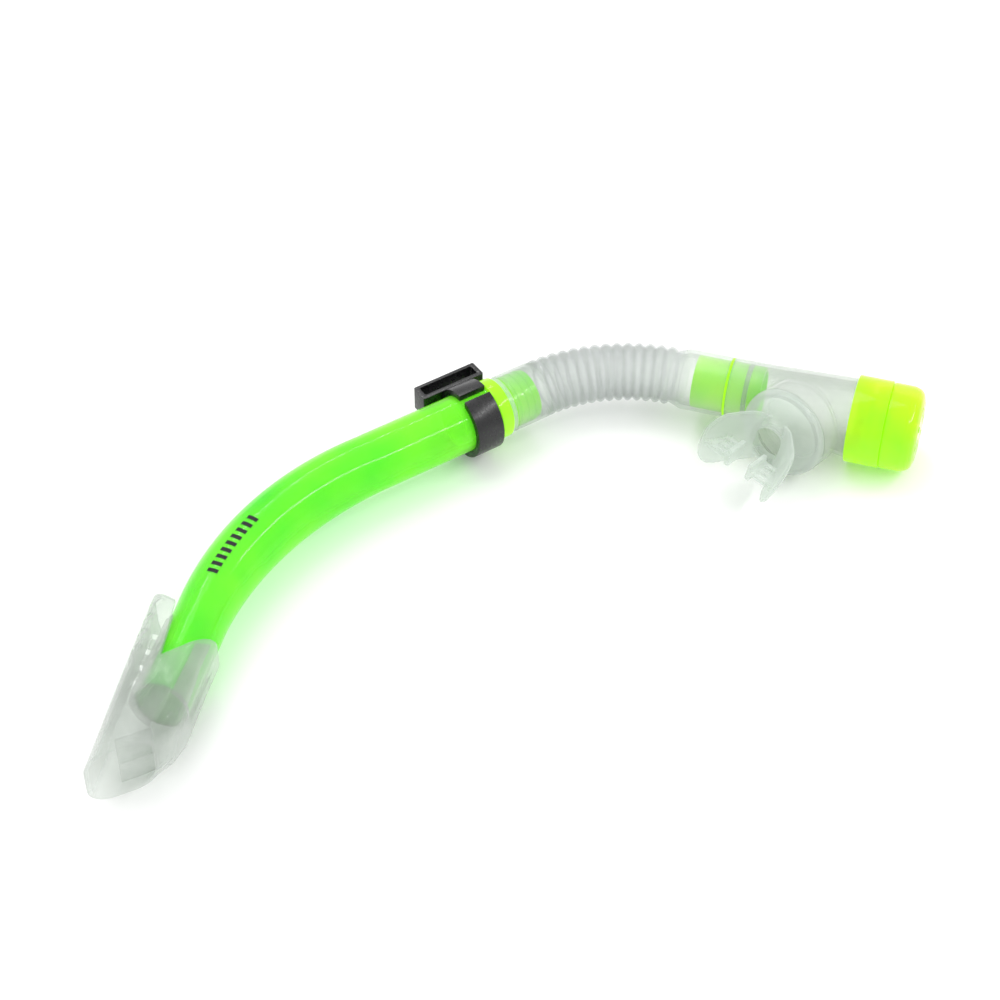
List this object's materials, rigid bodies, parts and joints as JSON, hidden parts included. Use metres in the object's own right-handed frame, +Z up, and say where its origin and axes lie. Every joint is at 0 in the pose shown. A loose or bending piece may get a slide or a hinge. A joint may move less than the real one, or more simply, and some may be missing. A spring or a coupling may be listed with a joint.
{
  "type": "snorkel",
  "caption": "J-shaped snorkel: tinted barrel with drained splash guard, corrugated hose, clear chamber with bite mouthpiece and purge valve, and a split keeper clip.",
  "frame": {"origin": "on the surface it lies on, below the middle of the whole object's box", "axes": "+X along the barrel's straight end towards the hose, the centreline's plane level, +Z up"},
  "size_m": [0.3908, 0.1436, 0.0403],
  "materials": {
    "barrel_green": "clear tinted tube, polished",
    "coupling_green": "clear tinted moulding, polished",
    "clear_plastic": "clear moulding, polished",
    "clear_hose": "clear flexible corrugated tube",
    "clear_silicone": "translucent satin silicone",
    "seal_silicone": "translucent satin silicone",
    "keeper_black": "satin black moulding"
  },
  "bodies": {
    "barrel": {"barrel": "barrel_green", "barrel_connector": "coupling_green", "connector_seal": "seal_silicone", "splash_guard": "clear_plastic", "splash_deflector": "clear_plastic"},
    "keeper": {"keeper_clip": "keeper_black"},
    "hose": {"corrugated_hose": "clear_hose"},
    "coupling": {"hose_coupling": "coupling_green", "coupling_seal": "seal_silicone"},
    "chamber": {"chamber": "clear_plastic", "purge_seat": "coupling_green", "purge_cap": "coupling_green"},
    "mouthpiece": {"mouthpiece": "clear_silicone"},
    "purge_valve": {"purge_valve": "seal_silicone"}
  },
  "joints": [
    {"name": "keeper_slide", "type": "slide", "parent": "barrel", "child": "keeper", "axis": [-1, 0, 0], "range_m": [0, 0.04]},
    {"name": "hose_swivel", "type": "hinge", "parent": "barrel", "child": "hose", "pos_m": [0.04296, 0.04963, 0.01921], "axis": [1, 0, 0], "range_deg": [-90, 90]},
    {"name": "hose_bend", "type": "hinge", "parent": "hose", "child": "coupling", "pos_m": [0.09576, 0.04963, 0.01921], "axis": [0, 0, 1], "range_deg": [-25, 50], "stiffness_Nm_per_rad": 0.4, "deforming": ["corrugated_hose"]},
    {"name": "chamber_turn", "type": "hinge", "parent": "coupling", "child": "chamber", "pos_m": [0.09576, 0.04963, 0.01921], "axis": [0.6361, -0.7716, 0], "range_deg": [-60, 60]},
    {"name": "mouthpiece_turn", "type": "hinge", "parent": "chamber", "child": "mouthpiece", "pos_m": [0.14416, -0.02837, 0.01921], "axis": [-0.9519, -0.273, 0.1392], "range_deg": [-45, 45]},
    {"name": "purge_lift", "type": "slide", "parent": "chamber", "child": "purge_valve", "axis": [0.6361, -0.7716, 0], "range_m": [0, 0.0012], "stiffness_N_per_m": 60}
  ]
}
